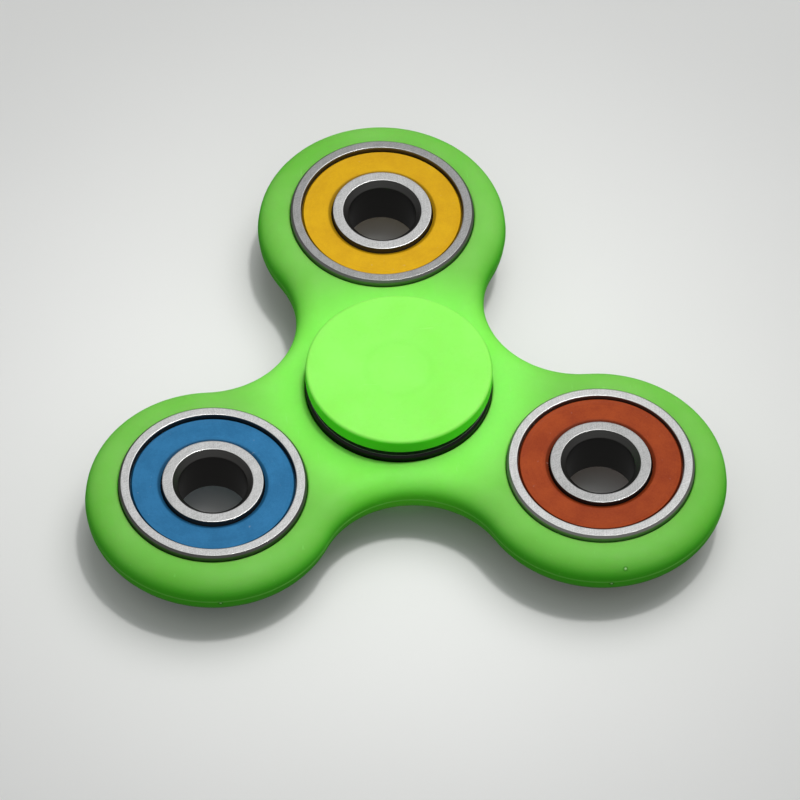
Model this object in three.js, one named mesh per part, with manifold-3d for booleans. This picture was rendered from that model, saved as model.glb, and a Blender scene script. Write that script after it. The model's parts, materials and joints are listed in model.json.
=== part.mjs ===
// A three-lobed fidget spinner: a moulded body, four ball bearings and two finger caps.
// Units are millimetres. Z is the spin axis, the lower cap's face lies at z = 0,
// and the lobe with the yellow bearing points along +Y.

import * as THREE from 'three';
import { mergeVertices } from 'three/addons/utils/BufferGeometryUtils.js';
import Module from 'manifold-3d';

const wasm = await Module();
wasm.setup();

// Bearings: the standard 8 x 22 x 7 size.
const BORE_RADIUS = 4;
const BEARING_RADIUS = 11;
const BEARING_WIDTH = 7;
const PITCH_RADIUS = 7.5;
const BALL_RADIUS = 1.984;
const BALL_COUNT = 7;

// Bearing rings.
const OUTER_SHOULDER = 9;
const INNER_SHOULDER = 6;
const OUTER_FACE_INSIDE = 9.8;
const INNER_FACE_OUTSIDE = 5.87;
const RING_CHAMFER = 0.25;
const BORE_CHAMFER = 0.7;
const BALL_CLEARANCE = 0.16;

// Seals: flat annular shields let into both faces of a bearing.
const SEAL_INSIDE = 6.1;
const SEAL_OUTSIDE = 9.68;
const SEAL_THICKNESS = 0.5;
const SEAL_RECESS = 0.5;
const SEAL_STEP_CLEARANCE = 0.1;

// Ball cage: a ring open on its upper side, which snaps over the balls.
const CAGE_INSIDE = 6.7;
const CAGE_OUTSIDE = 8.3;
const CAGE_BOTTOM = -2.4;
const CAGE_TOP = 0.9;
const POCKET_CLEARANCE = 0.2;

// Moulded body.
const ARM_LENGTH = 26.2;
const LOBE_RADIUS = 15;
const WAIST_RADIUS = 14.7;
const BODY_THICKNESS = 5.5;
const EDGE_ROUND = 2.4;
const SEAT_CLEARANCE = 0.08;
const SEAT_CHAMFER = 0.35;

// Finger caps.
const CAP_RADIUS = 11;
const CAP_THICKNESS = 2;
const CAP_EDGE_ROUND = 0.55;
const CAP_STANDOFF = 0.8;
const BOSS_RADIUS = 5.6;
const POST_RADIUS = 3.95;
const POST_WALL = 1.1;
const POST_LENGTH = 3.1;
const POST_CHAMFER = 0.3;
const BOSS_GAP = 0.02;

// Facets.
const ROUND_SEGMENTS = 24;
const CAP_SEGMENTS = 32;
const BALL_SEGMENTS = 8;
const BALL_RINGS = 6;
const POCKET_SEGMENTS = 10;
const POCKET_RINGS = 6;
const GROOVE_STEPS = 3;
const EDGE_STEPS = 3;
const LOBE_STEPS = 20;
const WAIST_STEPS = 7;

const HALF_WIDTH = BEARING_WIDTH / 2;
const MIDDLE_HEIGHT = CAP_THICKNESS + CAP_STANDOFF + HALF_WIDTH;

const BODY_GREEN = 0x86e063;
const CAP_GREEN = 0x96f56b;
const STEEL = 0xc4c5c2;
const CAGE_WHITE = 0xe6e2d4;
const SEAL_COLOURS = { centre: 0x20251f, yellow: 0xd0a421, blue: 0x356f99, red: 0x994824 };

const plastic = (colour) => new THREE.MeshStandardMaterial({ color: colour, roughness: 0.42, metalness: 0 });
const rubber = (colour) => new THREE.MeshStandardMaterial({ color: colour, roughness: 0.62, metalness: 0 });
const steel = (roughness) => new THREE.MeshStandardMaterial({ color: STEEL, roughness, metalness: 1 });

const spinner = new THREE.Group();

function addMesh(parent, name, geometry, material) {
  const mesh = new THREE.Mesh(geometry, material);
  mesh.name = name;
  parent.add(mesh);
  return mesh;
}

// Points [radius, height] of an arc about [centreRadius, centreHeight], both ends included.
function arc(centreRadius, centreHeight, radius, from, to, steps) {
  return Array.from({ length: steps + 1 }, (_, i) => {
    const angle = from + ((to - from) * i) / steps;
    return [centreRadius + radius * Math.cos(angle), centreHeight + radius * Math.sin(angle)];
  });
}

// A section turned about Z. A section that stays off the axis is closed on itself.
function turned(section, segments = ROUND_SEGMENTS) {
  const points = section.map(([radius, height]) => new THREE.Vector2(radius, height));
  const onAxis = points[0].x === 0 && points[points.length - 1].x === 0;
  if (!onAxis) points.push(points[0].clone());
  return new THREE.LatheGeometry(points, segments).rotateX(Math.PI / 2);
}

function toSolid(geometry) {
  const bare = geometry.clone();
  bare.deleteAttribute('normal');
  bare.deleteAttribute('uv');
  const merged = mergeVertices(bare, 1e-4);
  const vertProperties = new Float32Array(merged.attributes.position.array);
  const triVerts = new Uint32Array(merged.index.array);
  return new wasm.Manifold(new wasm.Mesh({ numProp: 3, vertProperties, triVerts }));
}

function toGeometry(solid) {
  const mesh = solid.getMesh();
  const geometry = new THREE.BufferGeometry();
  geometry.setAttribute('position', new THREE.BufferAttribute(mesh.vertProperties, 3));
  geometry.setIndex(new THREE.BufferAttribute(mesh.triVerts, 1));
  geometry.computeVertexNormals();
  return geometry;
}

function cutAll(geometry, cutters) {
  return toGeometry(cutters.reduce((solid, cutter) => solid.subtract(toSolid(cutter)), toSolid(geometry)));
}

// --- Ball bearing ---

// The ball groove's section, seen from the side that carries the ring's material.
const grooveRadius = BALL_RADIUS + BALL_CLEARANCE;
const grooveHalfAngle = Math.acos((OUTER_SHOULDER - PITCH_RADIUS) / grooveRadius);
const sealStep = HALF_WIDTH - SEAL_RECESS - SEAL_THICKNESS - SEAL_STEP_CLEARANCE;

function outerRing() {
  const groove = arc(PITCH_RADIUS, 0, grooveRadius, grooveHalfAngle, -grooveHalfAngle, GROOVE_STEPS);
  return turned([
    [BEARING_RADIUS - RING_CHAMFER, -HALF_WIDTH],
    [BEARING_RADIUS, -HALF_WIDTH + RING_CHAMFER],
    [BEARING_RADIUS, HALF_WIDTH - RING_CHAMFER],
    [BEARING_RADIUS - RING_CHAMFER, HALF_WIDTH],
    [OUTER_FACE_INSIDE, HALF_WIDTH],
    [OUTER_FACE_INSIDE, sealStep],
    [OUTER_SHOULDER, sealStep],
    ...groove,
    [OUTER_SHOULDER, -sealStep],
    [OUTER_FACE_INSIDE, -sealStep],
    [OUTER_FACE_INSIDE, -HALF_WIDTH],
  ]);
}

function innerRing() {
  const start = Math.PI + grooveHalfAngle;
  const groove = arc(PITCH_RADIUS, 0, grooveRadius, start, Math.PI - grooveHalfAngle, GROOVE_STEPS);
  return turned([
    [BORE_RADIUS + BORE_CHAMFER, HALF_WIDTH],
    [BORE_RADIUS, HALF_WIDTH - BORE_CHAMFER],
    [BORE_RADIUS, -HALF_WIDTH + BORE_CHAMFER],
    [BORE_RADIUS + BORE_CHAMFER, -HALF_WIDTH],
    [INNER_FACE_OUTSIDE, -HALF_WIDTH],
    [INNER_FACE_OUTSIDE, -sealStep],
    [INNER_SHOULDER, -sealStep],
    ...groove,
    [INNER_SHOULDER, sealStep],
    [INNER_FACE_OUTSIDE, sealStep],
    [INNER_FACE_OUTSIDE, HALF_WIDTH],
  ]);
}

// A seal lies a recess below its bearing's face. side is 1 for the upper face, -1 for the lower.
function seal(side) {
  const outerFace = side * (HALF_WIDTH - SEAL_RECESS);
  const innerFace = side * (HALF_WIDTH - SEAL_RECESS - SEAL_THICKNESS);
  const low = Math.min(outerFace, innerFace);
  const high = Math.max(outerFace, innerFace);
  return turned([
    [SEAL_OUTSIDE, low],
    [SEAL_OUTSIDE, high],
    [SEAL_INSIDE, high],
    [SEAL_INSIDE, low],
  ]);
}

const ballPlaces = Array.from({ length: BALL_COUNT }, (_, i) => {
  const angle = Math.PI / 2 + (i * 2 * Math.PI) / BALL_COUNT;
  return new THREE.Vector3(PITCH_RADIUS * Math.cos(angle), PITCH_RADIUS * Math.sin(angle), 0);
});

function ballCage() {
  const ring = turned([
    [CAGE_OUTSIDE, CAGE_BOTTOM],
    [CAGE_OUTSIDE, CAGE_TOP],
    [CAGE_INSIDE, CAGE_TOP],
    [CAGE_INSIDE, CAGE_BOTTOM],
  ], 4 * BALL_COUNT);
  const pocket = new THREE.SphereGeometry(BALL_RADIUS + POCKET_CLEARANCE, POCKET_SEGMENTS, POCKET_RINGS);
  return cutAll(ring, ballPlaces.map((place) => pocket.clone().translate(...place)));
}

// Both rings, the cage and the balls share these geometries between the four bearings.
const outerRingShape = outerRing();
const innerRingShape = innerRing();
const cageShape = ballCage();
const ballShape = new THREE.SphereGeometry(BALL_RADIUS, BALL_SEGMENTS, BALL_RINGS);
const upperSealShape = seal(1);
const lowerSealShape = seal(-1);

function addBearing(name, x, y) {
  const bearing = new THREE.Group();
  bearing.position.set(x, y, MIDDLE_HEIGHT);
  addMesh(bearing, `${name}_outer_ring`, outerRingShape, steel(0.32));
  addMesh(bearing, `${name}_inner_ring`, innerRingShape, steel(0.32));
  addMesh(bearing, `${name}_ball_cage`, cageShape, plastic(CAGE_WHITE));
  addMesh(bearing, `${name}_upper_seal`, upperSealShape, rubber(SEAL_COLOURS[name]));
  addMesh(bearing, `${name}_lower_seal`, lowerSealShape, rubber(SEAL_COLOURS[name]));
  ballPlaces.forEach((place, i) => {
    const ball = addMesh(bearing, `${name}_ball_${i + 1}`, ballShape, steel(0.08));
    ball.position.copy(place);
  });
  spinner.add(bearing);
}

// --- Moulded body ---

const lobeAngles = { yellow: Math.PI / 2, blue: (7 * Math.PI) / 6, red: (11 * Math.PI) / 6 };
const lobePlaces = Object.entries(lobeAngles).map(([name, angle]) => ({
  name,
  angle,
  x: ARM_LENGTH * Math.cos(angle),
  y: ARM_LENGTH * Math.sin(angle),
}));

// The waist is an arc that leaves both of its lobes smoothly and comes within WAIST_RADIUS
// of the spin axis. With r its radius, its centre is WAIST_RADIUS + r from the axis and
// LOBE_RADIUS + r from each lobe's centre, and the law of cosines at 60 degrees gives r.
const waistArc = (ARM_LENGTH ** 2 + WAIST_RADIUS ** 2 - ARM_LENGTH * WAIST_RADIUS - LOBE_RADIUS ** 2)
  / (2 * LOBE_RADIUS - 2 * WAIST_RADIUS + ARM_LENGTH);
const waistCentre = WAIST_RADIUS + waistArc;
// Half of the waist's arc, seen from its own centre.
const waistHalfAngle = Math.asin((ARM_LENGTH * Math.sin(Math.PI / 3)) / (LOBE_RADIUS + waistArc));
const lobeHalfAngle = Math.PI / 3 + waistHalfAngle;

function bodyOutline() {
  const outline = new THREE.Shape();
  const points = lobePlaces.flatMap(({ angle, x, y }) => {
    const next = angle + Math.PI / 3;
    const [waistX, waistY] = [waistCentre * Math.cos(next), waistCentre * Math.sin(next)];
    const facing = next + Math.PI;
    const lobe = arc(x, y, LOBE_RADIUS, angle - lobeHalfAngle, angle + lobeHalfAngle, LOBE_STEPS);
    const waist = arc(waistX, waistY, waistArc, facing + waistHalfAngle, facing - waistHalfAngle, WAIST_STEPS);
    return [...lobe, ...waist.slice(1, -1)];
  });
  outline.setFromPoints(points.map(([x, y]) => new THREE.Vector2(x, y)));
  return outline;
}

// The hole that a bearing is pressed into, with a small chamfer at both faces.
function bearingSeat(x, y) {
  const radius = BEARING_RADIUS + SEAT_CLEARANCE;
  const face = BODY_THICKNESS / 2;
  const flare = radius + SEAT_CHAMFER + 1;
  return turned([
    [0, -face - 1],
    [flare, -face - 1],
    [radius, -face + SEAT_CHAMFER],
    [radius, face - SEAT_CHAMFER],
    [flare, face + 1],
    [0, face + 1],
  ]).translate(x, y, 0);
}

function spinnerBody() {
  const slab = new THREE.ExtrudeGeometry(bodyOutline(), {
    depth: BODY_THICKNESS - 2 * EDGE_ROUND,
    bevelEnabled: true,
    bevelThickness: EDGE_ROUND,
    bevelSize: EDGE_ROUND,
    bevelOffset: -EDGE_ROUND,
    bevelSegments: EDGE_STEPS,
    curveSegments: 1,
  }).translate(0, 0, EDGE_ROUND - BODY_THICKNESS / 2);
  const seats = [bearingSeat(0, 0), ...lobePlaces.map(({ x, y }) => bearingSeat(x, y))];
  return cutAll(slab, seats);
}

// --- Finger cap ---

// The upper cap, with its face up and z = 0 at the middle of the bearing. A hollow post
// goes into the bore, and a low boss stands on the inner ring and holds the disc clear.
function fingerCap() {
  const disc = HALF_WIDTH + CAP_STANDOFF;
  const face = disc + CAP_THICKNESS;
  const round = arc(CAP_RADIUS - CAP_EDGE_ROUND, face - CAP_EDGE_ROUND, CAP_EDGE_ROUND, 0, Math.PI / 2, 3);
  const postEnd = HALF_WIDTH - POST_LENGTH;
  return turned([
    [0, disc],
    [POST_RADIUS - POST_WALL, disc],
    [POST_RADIUS - POST_WALL, postEnd],
    [POST_RADIUS - POST_CHAMFER, postEnd],
    [POST_RADIUS, postEnd + POST_CHAMFER],
    [POST_RADIUS, HALF_WIDTH + BOSS_GAP],
    [BOSS_RADIUS, HALF_WIDTH + BOSS_GAP],
    [BOSS_RADIUS, disc],
    [CAP_RADIUS - POST_CHAMFER, disc],
    [CAP_RADIUS, disc + POST_CHAMFER],
    ...round,
    [0, face],
  ], CAP_SEGMENTS);
}

const body = addMesh(spinner, 'spinner_body', spinnerBody(), plastic(BODY_GREEN));
body.position.z = MIDDLE_HEIGHT;

addBearing('centre', 0, 0);
lobePlaces.forEach(({ name, x, y }) => addBearing(name, x, y));

const capShape = fingerCap();
const topCap = addMesh(spinner, 'top_cap', capShape, plastic(CAP_GREEN));
topCap.position.z = MIDDLE_HEIGHT;
const bottomCap = addMesh(spinner, 'bottom_cap', capShape, plastic(CAP_GREEN));
bottomCap.position.z = MIDDLE_HEIGHT;
bottomCap.rotation.x = Math.PI;

export default spinner;
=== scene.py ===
# %% [markdown]
# # A three-lobed fidget spinner
# The real object is a moulded plastic body with four ball bearings pressed into it. A finger
# cap sits on each side of the middle bearing, so that a finger and thumb can hold the caps
# while the body spins round them. Every piece here is drawn in the same frame as its solid
# in the mechanical model: Z is the spin axis, and the lower cap's face lies on the floor.
# The mechanical model could be shown as it is, but its rounds are coarse, so each solid gets
# a fine piece of its own here, which rides on the same body and keeps the same size.

# %% Load the fixed frame
import json
import math

import bmesh
import bpy
from mathutils import Matrix, Vector
from mathutils.geometry import delaunay_2d_cdt

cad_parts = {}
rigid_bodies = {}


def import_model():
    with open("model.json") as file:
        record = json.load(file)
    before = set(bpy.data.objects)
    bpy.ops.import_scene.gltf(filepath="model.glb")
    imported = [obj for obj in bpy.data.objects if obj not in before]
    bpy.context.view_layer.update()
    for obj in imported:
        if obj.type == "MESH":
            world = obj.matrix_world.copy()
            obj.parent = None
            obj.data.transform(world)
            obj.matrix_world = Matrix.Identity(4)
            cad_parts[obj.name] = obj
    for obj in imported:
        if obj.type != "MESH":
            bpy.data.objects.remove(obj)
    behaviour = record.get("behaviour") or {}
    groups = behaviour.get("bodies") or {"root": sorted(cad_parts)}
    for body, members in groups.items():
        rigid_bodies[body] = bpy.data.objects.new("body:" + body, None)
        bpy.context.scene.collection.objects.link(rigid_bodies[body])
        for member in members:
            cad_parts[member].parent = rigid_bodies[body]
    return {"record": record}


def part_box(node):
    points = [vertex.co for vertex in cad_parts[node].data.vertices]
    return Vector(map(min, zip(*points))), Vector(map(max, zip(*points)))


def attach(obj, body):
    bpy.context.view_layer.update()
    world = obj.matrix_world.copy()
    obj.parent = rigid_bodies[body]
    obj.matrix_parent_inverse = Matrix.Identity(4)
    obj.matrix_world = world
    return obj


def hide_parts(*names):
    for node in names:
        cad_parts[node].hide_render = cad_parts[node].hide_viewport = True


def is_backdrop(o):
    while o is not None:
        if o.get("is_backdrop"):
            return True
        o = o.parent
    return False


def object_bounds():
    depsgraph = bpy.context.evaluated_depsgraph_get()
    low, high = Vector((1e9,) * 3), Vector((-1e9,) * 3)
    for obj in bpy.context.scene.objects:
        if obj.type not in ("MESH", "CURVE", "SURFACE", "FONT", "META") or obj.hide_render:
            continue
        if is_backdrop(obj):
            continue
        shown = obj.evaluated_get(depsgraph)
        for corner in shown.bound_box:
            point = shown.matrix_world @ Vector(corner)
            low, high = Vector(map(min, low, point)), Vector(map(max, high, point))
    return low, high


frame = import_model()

cad_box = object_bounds()
record = frame["record"]

# %% [markdown]
# ## Sizes
# A maker measures the parts in millimetres, and Blender counts in metres, so MM turns one
# into the other. The places and the outside sizes could be typed in again, but they are read
# from the mechanical model instead, which keeps the fine pieces exactly where the solids are.

# %% Sizes and places
MM = 0.001


def middle_of(node):
    """The middle of a solid's box."""
    low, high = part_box(node)
    return (low + high) / 2


BEARINGS = ("centre", "yellow", "blue", "red")
LOBES = BEARINGS[1:]
place = {name: middle_of(name + "_outer_ring") for name in BEARINGS}
body_low, body_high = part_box("spinner_body")
ring_low, ring_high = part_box("centre_outer_ring")
cap_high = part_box("top_cap")[1]

ARM = place["yellow"].y / MM
LOBE = (body_high.x - place["red"].x) / MM
HALF_BODY = (body_high.z - body_low.z) / 2 / MM
BEARING = 11.0
HALF_WIDTH = (ring_high.z - ring_low.z) / 2 / MM
CAP_FACE = (cap_high.z - place["centre"].z) / MM
BODY_OF = {node: body for body, nodes in record["behaviour"]["bodies"].items() for node in nodes}
print(f"arm {ARM:.2f}, lobe {LOBE:.2f}, half thickness {HALF_BODY:.2f}, cap face {CAP_FACE:.2f} mm")

# %% [markdown]
# ## Camera
# The spinner is seen from above and in front, from rather far away with a long lens, which
# keeps the three lobes nearly the same size. The camera could be aimed with a constraint, but
# a matrix built from three angles says exactly where it stands and which way is up.

# %% Camera
AZIMUTH, ELEVATION, ROLL = (math.radians(angle) for angle in (-5.606, 52.431, 1.620))
DISTANCE = 834.5
SIDESTEP, UPSTEP = 0.158, -2.033
LENS = 318.93

away = Vector((
    math.sin(AZIMUTH) * math.cos(ELEVATION),
    -math.cos(AZIMUTH) * math.cos(ELEVATION),
    math.sin(ELEVATION),
))
level = Vector((math.cos(AZIMUTH), math.sin(AZIMUTH), 0))
lifted = away.cross(level)
right = math.cos(ROLL) * level + math.sin(ROLL) * lifted
up = -math.sin(ROLL) * level + math.cos(ROLL) * lifted
pivot = Vector((0, 0, ring_high.z))

lens = bpy.data.cameras.new("long_lens")
lens.lens = LENS
camera = bpy.data.objects.new("camera", lens)
seen_from = pivot + (away * DISTANCE + right * SIDESTEP + up * UPSTEP) * MM
camera.matrix_world = Matrix((right, up, away)).transposed().to_4x4()
camera.matrix_world.translation = seen_from
bpy.context.scene.collection.objects.link(camera)
bpy.context.scene.camera = camera
bpy.context.scene.view_settings.view_transform = "Standard"
print("camera at", [round(value, 3) for value in seen_from])

# %% [markdown]
# ## Lights
# A large soft panel hangs above and behind the object, where the steel faces mirror it. A
# spot overhead with a fully feathered edge makes the hub brighter than the lobes. The air is
# a pale dome that darkens towards the ground, so that the upward faces are bright and the
# rolled edges fall away into shade. A ring of lamps would fill that shade and flatten the form.

# %% Lights
PANEL_PLACE = (0.13, 0.18, 0.555)
PANEL_POWER = 1.5
PANEL_WIDTH = 0.50
SPOT_PLACE = (0.10, 0.08, 0.59)
SPOT_POWER = 14.0
SPOT_BEAM = math.radians(8.4)
SPOT_SOFTNESS = 0.05
SPOT_AIM = pivot + Vector((0, 1.5, 0)) * MM


def hang_lamp(name, kind, spot, aim, power, **settings):
    """A lamp at a spot in metres, aimed at another."""
    lamp = bpy.data.lights.new(name, kind)
    lamp.energy = power
    for setting, value in settings.items():
        setattr(lamp, setting, value)
    holder = bpy.data.objects.new(name, lamp)
    holder.location = spot
    holder.rotation_euler = (aim - Vector(spot)).to_track_quat("-Z", "Y").to_euler()
    bpy.context.scene.collection.objects.link(holder)


hub_beam = {"spot_size": SPOT_BEAM, "spot_blend": 1.0, "shadow_soft_size": SPOT_SOFTNESS}
hang_lamp("overhead_panel", "AREA", PANEL_PLACE, pivot, PANEL_POWER, shape="DISK", size=PANEL_WIDTH)
hang_lamp("hub_spot", "SPOT", SPOT_PLACE, SPOT_AIM, SPOT_POWER, **hub_beam)
print("lamps:", len(bpy.data.lights))

# %% [markdown]
# ## Writing materials as sums
# A material is a small network of nodes, and wiring each node by hand is long and hard to
# read. Here one small class stands for the value that leaves a node. Adding or multiplying
# such values adds Math nodes, so that a finish reads as a line of arithmetic.


# %% A wire of a material
class Wire:
    """The value that one output socket of a material gives."""

    def __init__(self, tree, socket=None):
        self.tree = tree
        self.socket = socket

    def node(self, kind, settings=None, sockets=None, out=0):
        """A new node: its settings first, then values or wires for its sockets."""
        new = self.tree.nodes.new("ShaderNode" + kind)
        for setting, value in (settings or {}).items():
            setattr(new, setting, value)
        for key, value in (sockets or {}).items():
            if isinstance(value, Wire):
                self.tree.links.new(value.socket, new.inputs[key])
            else:
                new.inputs[key].default_value = value
        return Wire(self.tree, new.outputs[out])

    def sum(self, operation, *values):
        return self.node("Math", {"operation": operation}, dict(enumerate(values)))

    def __add__(self, other):
        return self.sum("ADD", self, other)

    def __sub__(self, other):
        return self.sum("SUBTRACT", self, other)

    def __rsub__(self, other):
        return self.sum("SUBTRACT", other, self)

    def __mul__(self, other):
        return self.sum("MULTIPLY", self, other)

    def __abs__(self):
        return self.sum("ABSOLUTE", self)

    __radd__ = __add__
    __rmul__ = __mul__

    def rise(self, low, high):
        """0 below low, 1 above high, and a smooth slope between them."""
        return self.node("MapRange", {"interpolation_type": "SMOOTHSTEP"}, {0: self, 1: low, 2: high})

    def band(self, middle, width):
        """1 at a value, fading to 0 at a distance of width from it."""
        return 1 - abs(self - middle).rise(0.0, width)

    def part(self, axis):
        return self.node("SeparateXYZ", sockets={0: self}, out="XYZ".index(axis))

    def stretched(self, x, y, z):
        return self.node("VectorMath", {"operation": "MULTIPLY"}, {0: self, 1: (x, y, z)})

    def moved(self, x, y, z):
        return self.node("VectorMath", {"operation": "ADD"}, {0: self, 1: (x, y, z)})

    def length(self):
        return self.node("VectorMath", {"operation": "LENGTH"}, {0: self}, out=1)

    def noise(self, size, detail=2.0, roughness=0.5):
        """Cloudy noise from 0 to 1 whose lumps are about size across."""
        sockets = {"Vector": self, "Scale": 1 / size, "Detail": detail, "Roughness": roughness}
        return self.node("TexNoise", sockets=sockets)

    def between(self, first, second):
        """A colour mixed from two others, by this value."""
        return self.node("Mix", {"data_type": "RGBA"}, {0: self, 6: first, 7: second}, out=2)

    def bump(self, depth):
        """A normal bent as if this value raised the surface by up to depth millimetres."""
        return self.node("Bump", sockets={"Strength": 1.0, "Distance": depth * MM, "Height": self})


# %% [markdown]
# ## The air round the object
# The studio's air is a dome: pale overhead, dim at the horizon and nearly dark below. It is a
# wire too, from the height of the direction in which a ray leaves.

# %% Studio air
BELOW = (0.10, 0.10, 0.10, 1.0)
HORIZON = (0.29, 0.29, 0.29, 1.0)
OVERHEAD = (0.46, 0.47, 0.48, 1.0)

world = bpy.data.worlds.new("studio_air")
world.use_nodes = True
bpy.context.scene.world = world
direction = Wire(world.node_tree).node("TexCoord", out=0)
height = direction.part("Z")
air = height.rise(-0.12, 0.02).between(BELOW, HORIZON)
air = height.rise(0.05, 1.0).between(air, OVERHEAD)
world.node_tree.links.new(air.socket, world.node_tree.nodes["Background"].inputs["Color"])
print("air nodes:", len(world.node_tree.nodes))

# %% [markdown]
# ## Starting a finish
# Colours are given as the maker sees them on a colour card, from 0 to 255, and the renderer
# counts light, so they are converted once. Each finish starts with the same two wires: the
# place on the piece in millimetres, and the way the surface faces. Painted pictures could
# carry the marks instead, but marks that are worked out from the place are sharp at any size.


# %% Starting a finish
def paint(red, green, blue):
    """A colour card's colour as amounts of light."""
    card = [value / 255 for value in (red, green, blue)]
    return tuple(((value + 0.055) / 1.055) ** 2.4 for value in card) + (1.0,)


def toned(tone, colour):
    """A colour made darker or lighter by a factor."""
    return [tone * value for value in colour[:3]] + [1.0]


def start_finish(name, fixed):
    """A material with fixed shader values, and its wires for the place and the facing."""
    material = bpy.data.materials.new(name)
    material.use_nodes = True
    tree = material.node_tree
    for socket, value in fixed.items():
        tree.nodes["Principled BSDF"].inputs[socket].default_value = value
    whole_place = Wire(tree).node("TexCoord", out=3)
    where = whole_place.stretched(1 / MM, 1 / MM, 1 / MM)
    facing = Wire(tree).node("TexCoord", out=1)
    return material, where, facing


def end_finish(material, wires):
    """Join the wires to the shader's sockets."""
    shader = material.node_tree.nodes["Principled BSDF"]
    for socket, wire in wires.items():
        material.node_tree.links.new(wire.socket, shader.inputs[socket])
    print(f"{material.name}: {len(material.node_tree.nodes)} nodes")
    return material


# %% [markdown]
# ## Floor
# The spinner lies on its lower cap on a plain pale board. A single grey would look like a
# void, so the board has a faint mottle and a fine tooth, too weak to draw the eye. It throws
# no light back on the object, which keeps the shade under the rolled edges deep.

# %% Floor
FLOOR_REACH = 40.0
board_paint, where, _ = start_finish("pale_board", {"Specular IOR Level": 0.25})
mottle = where.noise(90.0, 3.0)
tooth = where.noise(0.6, 2.0)
end_finish(board_paint, {
    "Base Color": mottle.between(paint(226, 226, 223), paint(236, 236, 234)),
    "Roughness": 0.62 + 0.12 * tooth,
    "Normal": tooth.bump(0.01),
})

floor_shape = bmesh.new()
bmesh.ops.create_grid(floor_shape, x_segments=12, y_segments=12, size=FLOOR_REACH)
floor_mesh = bpy.data.meshes.new("pale_floor")
floor_shape.to_mesh(floor_mesh)
floor_shape.free()
floor_mesh.materials.append(board_paint)
pale_floor = bpy.data.objects.new("pale_floor", floor_mesh)
bpy.context.scene.collection.objects.link(pale_floor)
pale_floor.visible_diffuse = False
pale_floor.visible_glossy = False
pale_floor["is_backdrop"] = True

# %% [markdown]
# ## Helpers for turned pieces
# Most of the pieces are round: rings, seals and caps are drawn as a section and turned about
# their axis, as on a lathe. A screw modifier could do it, but a mesh made ring by ring gives
# even quads. Where a flat meets a round, one more ring lies close beside the round, so that
# the flat stays flat when the shading is smoothed.

# %% Turned pieces
TURNS = 144
SUPPORT = 0.05
WELD = 0.001


def rounded(corners, steps=5):
    """A section's corners, each (radius, height) or (radius, height, fillet), as points."""
    points = []
    for before, corner, after in zip(corners[-1:] + corners[:-1], corners, corners[1:] + corners[:1]):
        here = Vector(corner[:2])
        if len(corner) < 3:
            points.append(here)
            continue
        back = (Vector(before[:2]) - here).normalized()
        ahead = (Vector(after[:2]) - here).normalized()
        half = back.angle(ahead) / 2
        reach = corner[2] / math.tan(half)
        centre = here + (back + ahead).normalized() * corner[2] / math.sin(half)
        points.append(here + back * (reach + SUPPORT))
        first, last = here + back * reach - centre, here + ahead * reach - centre
        spokes = [first.slerp(last, step / steps).normalized() for step in range(steps + 1)]
        points.extend(centre + spoke * corner[2] for spoke in spokes)
        points.append(here + ahead * (reach + SUPPORT))
    return points


def arc(middle, radius, start, end, steps):
    """Points along an arc, with both ends."""
    angles = [start + (end - start) * step / steps for step in range(steps + 1)]
    return [(middle[0] + radius * math.cos(angle), middle[1] + radius * math.sin(angle)) for angle in angles]


def to_mesh(shape):
    """Weld, face outward, smooth and keep a shape as a mesh. It is named when it is set in place."""
    bmesh.ops.remove_doubles(shape, verts=shape.verts, dist=WELD * MM)
    bmesh.ops.recalc_face_normals(shape, faces=shape.faces)
    for face in shape.faces:
        face.smooth = True
    mesh = bpy.data.meshes.new("shape")
    shape.to_mesh(mesh)
    shape.free()
    return mesh


def bridge(shape, near, far):
    """Quads between two rings of vertices. A ring of one vertex is a pole."""
    count = max(len(near), len(far))
    for i in range(count):
        j = (i + 1) % count
        ring = (near[i % len(near)], near[j % len(near)], far[j % len(far)], far[i % len(far)])
        shape.faces.new(list(dict.fromkeys(ring)))


def turned(section, turns=TURNS):
    """A mesh made by turning a section about Z."""
    shape = bmesh.new()
    rings = []
    for radius, height in section:
        count = turns if radius > 0 else 1
        rings.append([
            shape.verts.new((radius * MM * math.cos(angle), radius * MM * math.sin(angle), height * MM))
            for angle in (math.tau * i / count for i in range(count))
        ])
    for near, far in zip(rings, rings[1:] + rings[:1]):
        if len(near) > 1 or len(far) > 1:
            bridge(shape, near, far)
    return to_mesh(shape)


# %% [markdown]
# ## Putting a fine piece in a solid's place
# Each fine piece rides on its solid's body, and the solid is hidden. Copying the solid's
# transform would do nothing, because a solid's place is in its mesh, so the piece is made
# about its own middle and set down at the bearing's place.


# %% Stand-ins
def stand_in(node, name, mesh, finish, at, turned_over=False):
    """Set a fine mesh in place of a solid, on its body and with its own finish, and hide the solid."""
    mesh.name = name
    mesh.materials.clear()
    mesh.materials.append(finish)
    piece = bpy.data.objects.new(name, mesh)
    bpy.context.scene.collection.objects.link(piece)
    piece.location = at
    piece.rotation_euler.x = math.pi if turned_over else 0.0
    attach(piece, BODY_OF[node])
    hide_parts(node)
    return piece
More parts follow.
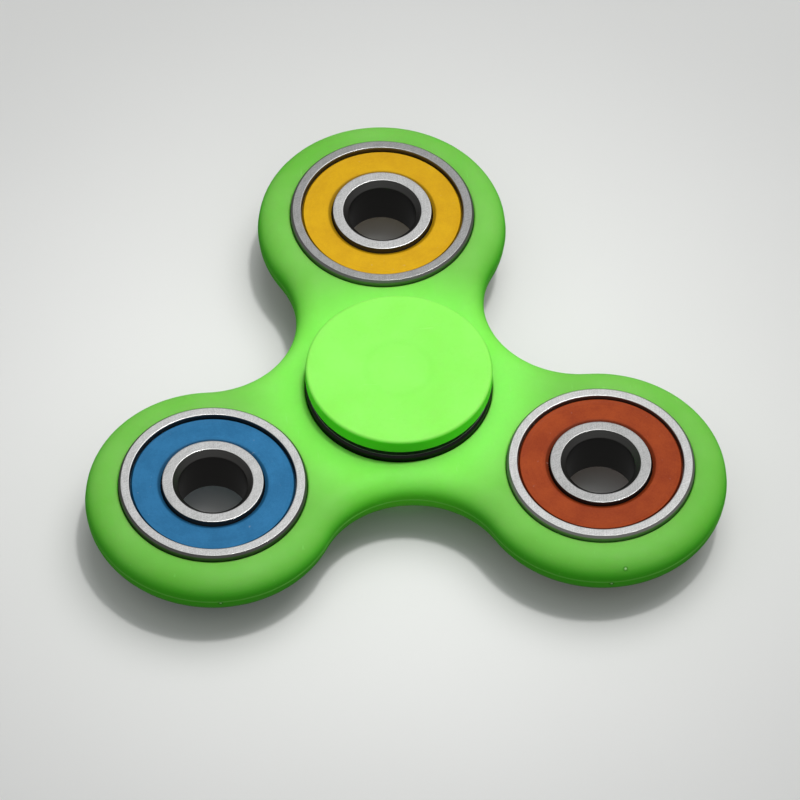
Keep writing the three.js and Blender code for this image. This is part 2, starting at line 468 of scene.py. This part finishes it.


# %% [markdown]
# ## Green plastic of the body
# The body is moulded in one shot of bright green plastic with a satin face. Real mouldings
# are never one even colour: the melt leaves soft clouds, and handling leaves fine scuffs and a
# little dirt. The pale scuff streaks are partly wear and partly painted sheen, a pale band
# along the parting line is a painted highlight, and three bright dots with dark rings on the
# near rim are painted glints. The hub is painted paler than the lobes as a painted pool of
# light, and the side walls are painted a deeper green as painted shade. The plastic lets a
# little light in, which softens its shade. A flat green would look like paper.

# %% Body plastic
PLASTIC = {
    "IOR": 1.47,
    "Specular IOR Level": 0.17,
    "Subsurface Weight": 0.40,
    "Subsurface Radius": (0.22, 1.0, 0.12),
    "Subsurface Scale": 0.0025,
}
# Painted light: the hub's greens are paler and the lobes' greens darker, a painted pool of light from the hub
# outward.
HUB_LIT_GREENS = paint(132, 240, 82), paint(140, 244, 96)
LOBE_SHADED_GREENS = paint(110, 190, 66), paint(123, 197, 83)
# Painted shade: deeper greens painted on the side walls of the hub and of the lobes.
HUB_WALL_SHADE, LOBE_WALL_SHADE = paint(104, 248, 34), paint(70, 206, 20)
# Painted glints: bright dots with dark rings painted on the near rim, each with a small raised ring in the
# bump.
GLINT_SPOTS = ((22.73, -27.99, -0.29), (24.33, -27.43, 1.76), (-22.68, -27.99, -0.20))


def body_plastic():
    """Satin moulded plastic with clouds, scuff streaks with painted sheen, a painted highlight along the
    parting line, painted glints, and painted light and shade on the hub, lobes and walls.
    """
    material, where, facing = start_finish("moulded_green", PLASTIC)
    clouds = where.noise(8.0, 3.0, 0.55)
    grain = where.noise(0.42, 2.0, 0.6)
    pores = where.moved(31, 7, 3).noise(0.16, 1.0)
    # Partly real wear, partly painted sheen: pale streaks that are also smoother and slightly sunken.
    scuffs_and_sheen = where.moved(5, 11, 2).stretched(1.0, 0.12, 1.0).noise(0.5, 3.0, 0.6).rise(0.66, 0.78)
    # Painted light: this mask fades from the painted bright hub to the painted darker lobes.
    painted_light_falloff = where.length().rise(11.5, 21.0)
    # Painted shade: surfaces that face sideways are painted a deeper, more saturated green.
    side = 1 - abs(facing.part("Z")).rise(0.05, 0.97)
    # Painted highlight: a pale band painted along the parting line.
    seam_highlight = 1 - abs(where.part("Z")).rise(0.08, 0.20)
    patches = clouds.rise(0.25, 0.75)
    green = painted_light_falloff.between(patches.between(*HUB_LIT_GREENS), patches.between(*LOBE_SHADED_GREENS))
    green = (0.82 * side).between(green, painted_light_falloff.between(HUB_WALL_SHADE, LOBE_WALL_SHADE))
    green = (0.12 * grain).between(green, paint(96, 196, 60))
    green = (0.30 * scuffs_and_sheen).between(green, paint(158, 236, 126))
    green = (0.20 * seam_highlight).between(green, paint(158, 238, 124))
    relief = 0.7 * grain + 0.3 * pores - 0.5 * scuffs_and_sheen
    # Painted glints: a dark ring and a bright centre are painted at each spot.
    for x, y, z in GLINT_SPOTS:
        away_from_glint = where.moved(-x, -y, -z).length()
        green = (0.5 - 0.5 * away_from_glint.rise(0.22, 0.42)).between(green, paint(50, 140, 26))
        green = (0.9 - 0.9 * away_from_glint.rise(0.06, 0.20)).between(green, paint(196, 248, 172))
        relief = relief + 2 * away_from_glint.band(0.26, 0.16)
    return end_finish(material, {
        "Base Color": green,
        "Roughness": 0.44 + 0.10 * clouds + 0.08 * grain - 0.08 * scuffs_and_sheen,
        "Normal": relief.bump(0.012),
    })


moulded_green = body_plastic()

# %% [markdown]
# ## The moulded body
# Seen from above the body is three round lobes joined by hollow waists, all arcs that meet
# smoothly. Its edge is rolled over from both faces to a narrow flat wall, where the two
# halves of the mould meet and leave a fine raised line. A union of three discs would leave
# creases at the waists, so the outline is drawn as one chain of arcs. The same chain, moved
# inward step by step, makes the rolled edge. The flat faces are filled between the outline
# and the four bearing seats with small triangles, so that no long thin face spoils the shade.

# %% Body outline
WAIST = 14.7
EDGE_ROLL = 2.4
LOBE_STEPS = 96
WAIST_STEPS = 40
SIXTH = math.pi / 3

lobe_angles = [math.atan2(place[name].y, place[name].x) for name in LOBES]
waist_arc = (ARM ** 2 + WAIST ** 2 - ARM * WAIST - LOBE ** 2) / (2 * LOBE - 2 * WAIST + ARM)
waist_turn = math.asin(ARM * math.sin(SIXTH) / (LOBE + waist_arc))
lobe_turn = SIXTH + waist_turn


def outline(inset):
    """The body's outline, moved inward, as points in millimetres."""
    points = []
    for angle in lobe_angles:
        lobe_middle = (ARM * math.cos(angle), ARM * math.sin(angle))
        beside = angle + SIXTH
        waist_middle = ((WAIST + waist_arc) * math.cos(beside), (WAIST + waist_arc) * math.sin(beside))
        inward = beside + math.pi
        points += arc(lobe_middle, LOBE - inset, angle - lobe_turn, angle + lobe_turn, LOBE_STEPS)
        waist = arc(waist_middle, waist_arc + inset, inward + waist_turn, inward - waist_turn, WAIST_STEPS)
        points += waist[1:-1]
    return points


print(f"waist arc {waist_arc:.2f} mm, outline points {len(outline(0))}")

# %% Body section
ROLL_STEPS = 18
CROWN = 3.1
WALL_INSET = 0.05
PARTING_HALF = 0.08
SEAT = BEARING + 0.08
SEAT_ROUND = 0.25
FACE_GRID = 1.15
CLEAR_OF_RIM = 0.55 * FACE_GRID


def edge_section():
    """The rolled edge from the upper face to the parting line, as (inset, height)."""
    top = HALF_BODY
    section = [(CROWN + SUPPORT, top)]
    for step in range(ROLL_STEPS + 1):
        angle = math.pi / 2 * step / ROLL_STEPS
        width = EDGE_ROLL + (CROWN - EDGE_ROLL) * math.cos(angle) ** 2
        inset = WALL_INSET + (width - WALL_INSET) * (1 - math.sin(angle))
        section.append((inset, top - EDGE_ROLL * (1 - math.cos(angle))))
    section += [(WALL_INSET, PARTING_HALF + SUPPORT), (WALL_INSET, PARTING_HALF)]
    return section + [(0.0, PARTING_HALF * 0.35)]


upper_edge = edge_section()
edge_line = upper_edge + [(inset, -height) for inset, height in reversed(upper_edge)]
seat_middles = [(place[name].x / MM, place[name].y / MM) for name in BEARINGS]


def seat_section():
    """The seat's wall with its softened rims, as (radius, height)."""
    rim = arc((SEAT + SEAT_ROUND, HALF_BODY - SEAT_ROUND), SEAT_ROUND, math.pi / 2, math.pi, 6)
    upper = [(SEAT + SEAT_ROUND + SUPPORT, HALF_BODY)] + rim + [(SEAT, HALF_BODY - SEAT_ROUND - SUPPORT)]
    return upper + [(radius, -height) for radius, height in reversed(upper)]



# %% Body faces
def circle(middle, radius):
    return arc(middle, radius, 0, math.tau, TURNS)[:-1]


def face_points():
    """Loops of the flat face and loose points inside it, as one list, with the loops' lengths."""
    loops = [outline(upper_edge[0][0])]
    loops += [circle(middle, seat_section()[0][0]) for middle in seat_middles]
    rim = [Vector(point) for loop in loops for point in loop]
    loose = []
    rows = int(2 * (ARM + LOBE) / FACE_GRID)
    for row in range(-rows, rows):
        for column in range(-rows, rows):
            spot = Vector(((column + 0.5 * (row % 2)) * FACE_GRID, row * FACE_GRID * math.sqrt(0.75)))
            in_lobe = min((spot - Vector(middle)).length for middle in seat_middles) < LOBE - CROWN
            in_hub = spot.length < WAIST
            if (in_lobe or in_hub) and min((spot - point).length for point in rim) > CLEAR_OF_RIM:
                loose.append(spot)
    return rim + loose, [len(loop) for loop in loops]


def flat_face():
    """Triangles of the flat face between the outline and the seats."""
    points, lengths = face_points()
    loops, start = [], 0
    for length in lengths:
        loops.append(list(range(start, start + length)))
        start += length
    corners, _, triangles, _, _, sources = delaunay_2d_cdt(points, [], loops, 0, 1e-6, True)
    kept = [triangle for triangle, source in zip(triangles, sources) if source == [0]]
    return corners, kept


corners, triangles = flat_face()
print("flat face:", len(triangles), "triangles")


# %% Body mesh
def moulded_body_mesh():
    """The whole body: rolled edge, two flat faces and four seats."""
    shape = bmesh.new()
    rings = [
        [shape.verts.new((x * MM, y * MM, height * MM)) for x, y in outline(inset)]
        for inset, height in edge_line
    ]
    for near, far in zip(rings, rings[1:]):
        bridge(shape, near, far)
    for middle in seat_middles:
        seat = [
            [shape.verts.new((x * MM, y * MM, height * MM)) for x, y in circle(middle, radius)]
            for radius, height in seat_section()
        ]
        for near, far in zip(seat, seat[1:]):
            bridge(shape, near, far)
    for height in (HALF_BODY, -HALF_BODY):
        face = [shape.verts.new((corner.x * MM, corner.y * MM, height * MM)) for corner in corners]
        for triangle in triangles:
            shape.faces.new([face[i] for i in triangle])
        unused = [vertex for vertex in face if not vertex.link_faces]
        bmesh.ops.delete(shape, geom=unused, context="VERTS")
    return to_mesh(shape)


body_middle = Vector((0, 0, (body_low.z + body_high.z) / 2))
moulded_body = stand_in("spinner_body", "moulded_body", moulded_body_mesh(), moulded_green, body_middle)
print("moulded body:", len(moulded_body.data.polygons), "faces")

# %% [markdown]
# ## Bearing steel
# A bearing ring is hardened steel. Its flat faces are ground on a stone, which leaves a dull
# grey-white face with fine grains and crossing scratches. The narrow rounds beside them are
# tumbled and smoother, and the bevels and round walls carry fine marks that run round them.
# The walls, and on some bearings the faces and rounds too, are darkened by tones given for
# each ring, as painted shade and painted darker reflections. One even metal would miss all
# three, so the finish looks at the way the surface faces and changes with it.


# %% Bearing steel
def ring_steel(name, tone, edge_tone, wall_tone, seed):
    """Ground, tumbled and turned steel. Lower tones darken the faces, the edges and the walls, as painted
    shade and painted darker reflections.
    """
    material, where, facing = start_finish(name, {"IOR": 2.2})
    shifted = where.moved(seed * 13.7, seed * 5.3, 0)
    upright = abs(facing.part("Z"))
    flat = upright.rise(0.985, 0.9985)
    tumbled = upright.rise(0.80, 0.88)
    grains = shifted.noise(0.14, 2.0, 0.7)
    patches = shifted.noise(1.6, 2.0)
    strokes = shifted.stretched(1.0, 0.07, 1.0).noise(0.14, 2.0, 0.6)
    crossing = shifted.node("VectorRotate", {"rotation_type": "Z_AXIS"}, {"Vector": shifted, "Angle": 1.1})
    crossing = crossing.stretched(1.0, 0.07, 1.0).noise(0.14, 2.0, 0.6)
    ground = 0.5 * grains + 0.25 * strokes + 0.25 * crossing
    turning = where.stretched(0.02, 0.02, 1.0).noise(0.10, 2.0)
    face = (0.92 * ground + 0.08 * patches).rise(0.36, 0.62)
    face = face.between(toned(tone, (0.27, 0.27, 0.265)), toned(tone, (0.48, 0.48, 0.475)))
    wall = turning.rise(0.3, 0.7)
    wall = wall.between(toned(wall_tone, (0.41, 0.40, 0.38)), toned(wall_tone, (0.46, 0.45, 0.43)))
    wall = tumbled.between(wall, toned(edge_tone, (0.90, 0.90, 0.88)))
    roughness = flat * (0.44 + 0.16 * ground) + (1 - flat) * (0.36 + 0.10 * turning)
    return end_finish(material, {
        "Base Color": flat.between(wall, face),
        "Metallic": 0.97 - 0.25 * flat * ground,
        "Roughness": roughness,
        "Normal": (flat * ground + 0.03 * (1 - flat) * turning).bump(0.006),
    })


# Painted shade and reflection: each outer ring is darkened on its own. The middle ring is nearly black as a
# painted shadow of the cap, the yellow ring is darker as a painted darker reflection, and the outer walls are
# darkened by differing amounts as painted shade.
OUTER_SHADE_TONES = {
    "centre": (0.16, 0.30, 0.06, 0),
    "yellow": (0.58, 0.46, 0.50, 1),
    "blue": (1.0, 0.66, 0.34, 2),
    "red": (1.0, 0.66, 0.72, 3),
}
# Painted shade: every bore wall is darkened, and the red inner ring's faces are painted darker than the
# others.
INNER_SHADE_TONES = {
    "centre": (0.92, 0.66, 0.20, 7),
    "yellow": (0.92, 0.66, 0.20, 8),
    "blue": (0.92, 0.66, 0.20, 9),
    "red": (0.74, 0.56, 0.20, 11),
}
steel_outer = {name: ring_steel(f"{name}_outer_steel", *OUTER_SHADE_TONES[name]) for name in BEARINGS}
steel_inner = {name: ring_steel(f"{name}_inner_steel", *INNER_SHADE_TONES[name]) for name in BEARINGS}

# %% [markdown]
# ## Bearing rings
# Both rings are turned from bar, with a ball groove facing the other ring and a small step
# that takes the edge of the seal. The groove is an arc a hair larger than the ball. The
# corners that slide into the body and on to a shaft are bevelled. The whole ring is one
# section turned about its axis, so that no joint shows in the metal.

# %% Ring sections
PITCH = 7.5
BALL = 1.984
GROOVE = BALL + 0.05
OUTER_SHOULDER = 9.0
INNER_SHOULDER = 6.0
OUTER_LIP = 9.74
INNER_LIP = 5.95
SEAL_STEP = 2.4
BORE = 4.0
BORE_CHAMFER = 0.72
RIM_CHAMFER = 0.26
RIM_FILLET = 0.08
LIP_FILLET = 0.12
BORE_FILLET = 0.3
STEP_FILLET = 0.06
SHOULDER_FILLET = 0.1
GROOVE_STEPS = 16
groove_turn = math.acos((OUTER_SHOULDER - PITCH) / GROOVE)

outer_section = rounded([
    (BEARING - RIM_CHAMFER, -HALF_WIDTH, RIM_FILLET),
    (BEARING, -HALF_WIDTH + RIM_CHAMFER, RIM_FILLET),
    (BEARING, HALF_WIDTH - RIM_CHAMFER, RIM_FILLET),
    (BEARING - RIM_CHAMFER, HALF_WIDTH, RIM_FILLET),
    (OUTER_LIP, HALF_WIDTH, LIP_FILLET),
    (OUTER_LIP, SEAL_STEP, STEP_FILLET),
    (OUTER_SHOULDER, SEAL_STEP, SHOULDER_FILLET),
    *arc((PITCH, 0), GROOVE, groove_turn, -groove_turn, GROOVE_STEPS),
    (OUTER_SHOULDER, -SEAL_STEP, SHOULDER_FILLET),
    (OUTER_LIP, -SEAL_STEP, STEP_FILLET),
    (OUTER_LIP, -HALF_WIDTH, LIP_FILLET),
])
inner_section = rounded([
    (BORE + BORE_CHAMFER, HALF_WIDTH, LIP_FILLET),
    (BORE, HALF_WIDTH - BORE_CHAMFER, BORE_FILLET),
    (BORE, -HALF_WIDTH + BORE_CHAMFER, BORE_FILLET),
    (BORE + BORE_CHAMFER, -HALF_WIDTH, LIP_FILLET),
    (INNER_LIP, -HALF_WIDTH, LIP_FILLET),
    (INNER_LIP, -SEAL_STEP),
    (INNER_SHOULDER, -SEAL_STEP),
    *arc((PITCH, 0), GROOVE, math.pi + groove_turn, math.pi - groove_turn, GROOVE_STEPS),
    (INNER_SHOULDER, SEAL_STEP),
    (INNER_LIP, SEAL_STEP),
    (INNER_LIP, HALF_WIDTH, LIP_FILLET),
])
print("ring sections:", len(outer_section), "and", len(inner_section), "points")

# %% Rings in place
for name in BEARINGS:
    outer, inner = turned(outer_section), turned(inner_section)
    stand_in(f"{name}_outer_ring", f"{name}_bearing_outer", outer, steel_outer[name], place[name])
    stand_in(f"{name}_inner_ring", f"{name}_bearing_inner", inner, steel_inner[name], place[name])

# %% [markdown]
# ## Rubber of the seals
# Each lobe's bearing is closed by a thin steel shield coated in coloured rubber, yellow, blue
# or red-orange. The rubber is satin, with a fine moulded grain, painted shade along both
# edges, where they sink under the rings, and faint rings from the mould. The middle
# bearing's seals are plain black.


# %% Seal rubber
def seal_rubber(name, pale, deep, seed):
    """Satin moulded rubber between a pale and a deep shade of one colour."""
    material, where, _ = start_finish(name, {"IOR": 1.5, "Specular IOR Level": 0.12})
    shifted = where.moved(seed * 9.1, seed * 4.7, 0)
    radius = where.stretched(1, 1, 0).length()
    clouds = shifted.noise(3.2, 3.0, 0.55)
    grain = shifted.noise(0.24, 3.0, 0.65)
    rings = radius.node("TexNoise", {"noise_dimensions": "1D"}, {"W": radius, "Scale": 5.0, "Detail": 2.0})
    dust = shifted.moved(3, 3, 3).noise(0.7, 2.0).rise(0.70, 0.80)
    # Painted shade: the rubber is darkened towards both edges, where they sink under the rings.
    painted_edge_shade = 1 - radius.rise(6.3, 6.65) + radius.rise(9.38, 9.50)
    shade = (0.55 * clouds + 0.35 * grain + 0.10 * rings).rise(0.3, 0.7)
    colour = shade.between(deep, pale)
    colour = (0.70 * painted_edge_shade).between(colour, toned(0.25, deep))
    colour = (0.18 * dust).between(colour, (0.5, 0.5, 0.46, 1.0))
    return end_finish(material, {
        "Base Color": colour,
        "Roughness": 0.46 + 0.14 * grain + 0.08 * dust,
        "Normal": (0.7 * grain + 0.5 * rings + 0.4 * clouds).bump(0.008),
    })


SEAL_COLOURS = {
    "centre": ((36, 40, 36), (24, 27, 24)),
    "yellow": ((217, 169, 10), (201, 151, 4)),
    "blue": ((44, 117, 165), (31, 100, 144)),
    "red": ((163, 68, 22), (137, 49, 13)),
}
rubber = {
    name: seal_rubber(f"{name}_rubber", paint(*pale), paint(*deep), seed)
    for seed, (name, (pale, deep)) in enumerate(SEAL_COLOURS.items())
}

# %% [markdown]
# ## Seals
# A seal is a flat washer. A low bead and a narrow groove run round its outer edge, where it
# snaps into the outer ring, and a thin bevelled lip nearly touches the inner ring. It lies a
# little below the ring faces, so both edges show as fine dark lines, which the rubber's
# painted edge shade deepens. The red seal was pushed in less deeply than the others. A flat
# disc between the rings would lose those lines.

# %% Seals in place
SEAL_INSIDE = 6.1
SEAL_OUTSIDE = 9.66
SEAL_FACE = {"centre": 3.0, "yellow": 3.0, "blue": 3.02, "red": 3.16}
SEAL_BACK = 2.5
BEAD = 0.04
BEAD_START, BEAD_END = 0.22, 0.70
SNAP_GROOVE = 0.22
SNAP_WIDTH = 0.16
LIP_BEVEL = 0.40
LIP_DROP = 0.20


def seal_section(face):
    """A seal's section with its face at a height, bead and lip included."""
    return rounded([
        (SEAL_OUTSIDE, SEAL_BACK, 0.08),
        (SEAL_OUTSIDE, face - SNAP_GROOVE, 0.08),
        (SEAL_OUTSIDE - SNAP_WIDTH, face - SNAP_GROOVE, 0.04),
        (SEAL_OUTSIDE - BEAD_START, face + BEAD, 0.08),
        (SEAL_OUTSIDE - BEAD_END, face, 0.4),
        (SEAL_INSIDE + LIP_BEVEL, face, 0.2),
        (SEAL_INSIDE, face - LIP_DROP, 0.08),
        (SEAL_INSIDE, SEAL_BACK, 0.06),
    ], steps=4)


for name in BEARINGS:
    for side, turned_over in (("upper", False), ("lower", True)):
        mesh = turned(seal_section(SEAL_FACE[name]))
        stand_in(f"{name}_{side}_seal", f"{name}_{side}_shield", mesh, rubber[name], place[name], turned_over)

# %% [markdown]
# ## Balls and cages
# Seven balls run in each bearing, kept apart by a moulded nylon crown that snaps over them
# from one side. They are hidden by the seals, but they turn with the rings, so they are made
# in full. A ball drawn with poles would pinch its polish at two points, so a cube is divided
# and swelled into a sphere, which keeps its faces even. The crown is a plain ring with seven
# round pockets cut out of it.


# %% Ball steel and cage nylon
def ball_polish():
    """Lapped and polished steel, with the faintest mottle and lapping marks."""
    material, where, _ = start_finish("lapped_steel", {"Metallic": 1.0})
    mottle = where.noise(0.5, 2.0)
    lapping = where.stretched(1.0, 1.0, 0.1).noise(0.12, 2.0).rise(0.55, 0.75)
    return end_finish(material, {
        "Base Color": mottle.between((0.60, 0.61, 0.62, 1.0), (0.68, 0.69, 0.70, 1.0)),
        "Roughness": 0.07 + 0.06 * lapping,
        "Normal": lapping.bump(0.001),
    })


def cage_nylon():
    """Natural nylon, waxy and slightly clouded by grease."""
    waxy = {"Subsurface Weight": 0.2, "Subsurface Scale": 0.001}
    material, where, _ = start_finish("natural_nylon", waxy)
    grease = where.noise(1.4, 3.0).rise(0.45, 0.7)
    grain = where.noise(0.2, 2.0)
    return end_finish(material, {
        "Base Color": grease.between(paint(228, 222, 206), paint(204, 192, 160)),
        "Roughness": 0.50 - 0.22 * grease + 0.08 * grain,
        "Normal": grain.bump(0.006),
    })


lapped_steel = ball_polish()
natural_nylon = cage_nylon()


# %% Ball mesh
def ball_mesh():
    """A cube divided into a fine grid and swelled into a ball."""
    shape = bmesh.new()
    bmesh.ops.create_cube(shape, size=2)
    bmesh.ops.subdivide_edges(shape, edges=shape.edges, cuts=9, use_grid_fill=True)
    for vertex in shape.verts:
        x, y, z = (value * value for value in vertex.co)
        vertex.co.x *= math.sqrt(1 - y / 2 - z / 2 + y * z / 3)
        vertex.co.y *= math.sqrt(1 - z / 2 - x / 2 + z * x / 3)
        vertex.co.z *= math.sqrt(1 - x / 2 - y / 2 + x * y / 3)
        vertex.co = vertex.co.normalized() * BALL * MM
    return to_mesh(shape)


# %% Cage mesh
CAGE_INSIDE = 6.7
CAGE_OUTSIDE = 8.3
CAGE_BOTTOM = -2.4
CAGE_TOP = 0.9
CAGE_FILLET = 0.2
CAGE_TURNS = 98
POCKET = BALL + 0.08
BALL_COUNT = 7
ball_angles = [math.pi / 2 + math.tau * i / BALL_COUNT for i in range(BALL_COUNT)]
ball_spots = [(PITCH * math.cos(angle), PITCH * math.sin(angle)) for angle in ball_angles]


def cage_mesh():
    """A ring with seven round pockets cut out of it."""
    crown = bpy.data.objects.new("crown", turned(rounded([
        (CAGE_OUTSIDE, CAGE_BOTTOM, CAGE_FILLET),
        (CAGE_OUTSIDE, CAGE_TOP, CAGE_FILLET),
        (CAGE_INSIDE, CAGE_TOP, CAGE_FILLET),
        (CAGE_INSIDE, CAGE_BOTTOM, CAGE_FILLET),
    ], steps=3), CAGE_TURNS))
    shape = bmesh.new()
    for x, y in ball_spots:
        pocket = Matrix.Translation(Vector((x, y, 0)) * MM)
        bmesh.ops.create_icosphere(shape, subdivisions=4, radius=POCKET * MM, matrix=pocket)
    pockets = bpy.data.objects.new("pockets", to_mesh(shape))
    for helper in (crown, pockets):
        bpy.context.scene.collection.objects.link(helper)
    cut = crown.modifiers.new("pockets", "BOOLEAN")
    cut.operation, cut.object, cut.solver = "DIFFERENCE", pockets, "EXACT"
    bpy.context.view_layer.update()
    carved = bmesh.new()
    carved.from_object(crown, bpy.context.evaluated_depsgraph_get())
    bmesh.ops.dissolve_degenerate(carved, dist=0.004 * MM, edges=carved.edges)
    mesh = to_mesh(carved)
    for helper in (crown, pockets):
        bpy.data.objects.remove(helper)
    mesh.set_sharp_from_angle(angle=math.radians(40))
    return mesh


# %% Balls and cages in place
cage_shape = cage_mesh()
ball_shape = ball_mesh()
for name in BEARINGS:
    stand_in(f"{name}_ball_cage", f"{name}_crown_cage", cage_shape.copy(), natural_nylon, place[name])
    for i, (x, y) in enumerate(ball_spots, 1):
        at = place[name] + Vector((x, y, 0)) * MM
        stand_in(f"{name}_ball_{i}", f"{name}_steel_ball_{i}", ball_shape.copy(), lapped_steel, at)
print("balls:", BALL_COUNT * len(BEARINGS), "cage faces:", len(cage_shape.polygons))


# %% [markdown]
# ## Plastic of the caps
# The caps are moulded in a slightly brighter and yellower green than the body. A fingertip
# rests on the face, so its middle is polished a little smoother than its rim. Over the post
# the thick plastic shrinks as it cools and leaves a faint round dip, and a darker ring is
# painted over it as painted shade. The side wall is painted a deeper green as painted shade.
# The body's green could serve again, but the caps would then lose their brighter, rubbed look.


# %% Cap plastic
def cap_plastic():
    """Satin plastic, smoother where a fingertip rubs, with painted shade on its side wall and over the sink
    dip.
    """
    material, where, facing = start_finish("bright_green", PLASTIC)
    radius = where.stretched(1, 1, 0).length()
    clouds = where.moved(4, 9, 0).noise(6.0, 3.0)
    grain = where.noise(0.36, 2.0, 0.6)
    rubbed = 1 - radius.rise(3.0, 10.5)
    # Painted shade: a darker ring painted over the shallow sink dip.
    sink_shade = radius.band(3.9, 0.8)
    scratches = where.moved(2, 2, 0).stretched(0.1, 1.0, 1.0).noise(0.4, 3.0, 0.6).rise(0.68, 0.78)
    green = (0.8 * clouds + 0.2 * grain).rise(0.3, 0.7).between(paint(140, 240, 88), paint(147, 245, 99))
    green = (0.15 * sink_shade).between(green, paint(120, 226, 70))
    # Painted shade: surfaces that face sideways are painted a deeper, more saturated green.
    side = 1 - abs(facing.part("Z")).rise(0.05, 0.97)
    green = (0.86 * side).between(green, paint(80, 230, 20))
    green = (0.25 * scratches).between(green, paint(170, 250, 130))
    return end_finish(material, {
        "Base Color": green,
        "Roughness": 0.46 + 0.10 * grain - 0.08 * rubbed - 0.06 * scratches,
        "Normal": (0.7 * grain - 0.5 * scratches).bump(0.009),
    })


bright_green = cap_plastic()

# %% [markdown]
# ## Finger caps
# A cap is a flat disc with a rounded upper edge. Under it a low boss stands on the bearing's
# inner ring, which keeps the disc clear of the spinning body, and a hollow post is pushed
# into the bore. The lower cap is the same moulding turned over.

# %% Caps in place
CAP = 11.0
CAP_UNDER = HALF_WIDTH + 0.8
BOSS = 5.6
BOSS_END = HALF_WIDTH + 0.02
POST = 3.95
POST_HOLLOW = 2.85
POST_END = 0.4
SINK_DEPTH = 0.03
SINK = ((4.9, 0.0), (4.3, 0.3), (3.7, 1.0), (3.1, 0.7), (2.0, 0.3), (0, 0.3))

cap_section = rounded([
    (0, CAP_UNDER),
    (POST_HOLLOW, CAP_UNDER, 0.2),
    (POST_HOLLOW, POST_END, 0.15),
    (POST, POST_END, 0.35),
    (POST, BOSS_END, 0.1),
    (BOSS, BOSS_END, 0.12),
    (BOSS, CAP_UNDER, 0.2),
    (CAP, CAP_UNDER, 0.28),
    (CAP, CAP_FACE, 0.36),
    (9.0, CAP_FACE),
    *((radius, CAP_FACE - share * SINK_DEPTH) for radius, share in SINK),
], steps=8)
CAPS = (("top_cap", "upper_finger_cap", False), ("bottom_cap", "lower_finger_cap", True))
for node, name, turned_over in CAPS:
    stand_in(node, name, turned(cap_section), bright_green, place["centre"], turned_over)

# %% [markdown]
# ## The boxes at the end
# The fine pieces are meant to fit the mechanical model's box, so both boxes are printed at the end.

# %% Size and finish
visual_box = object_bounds()
for label, box in (("solids", cad_box), ("pieces", visual_box)):
    print(label, [[round(value / MM, 2) for value in corner] for corner in box])
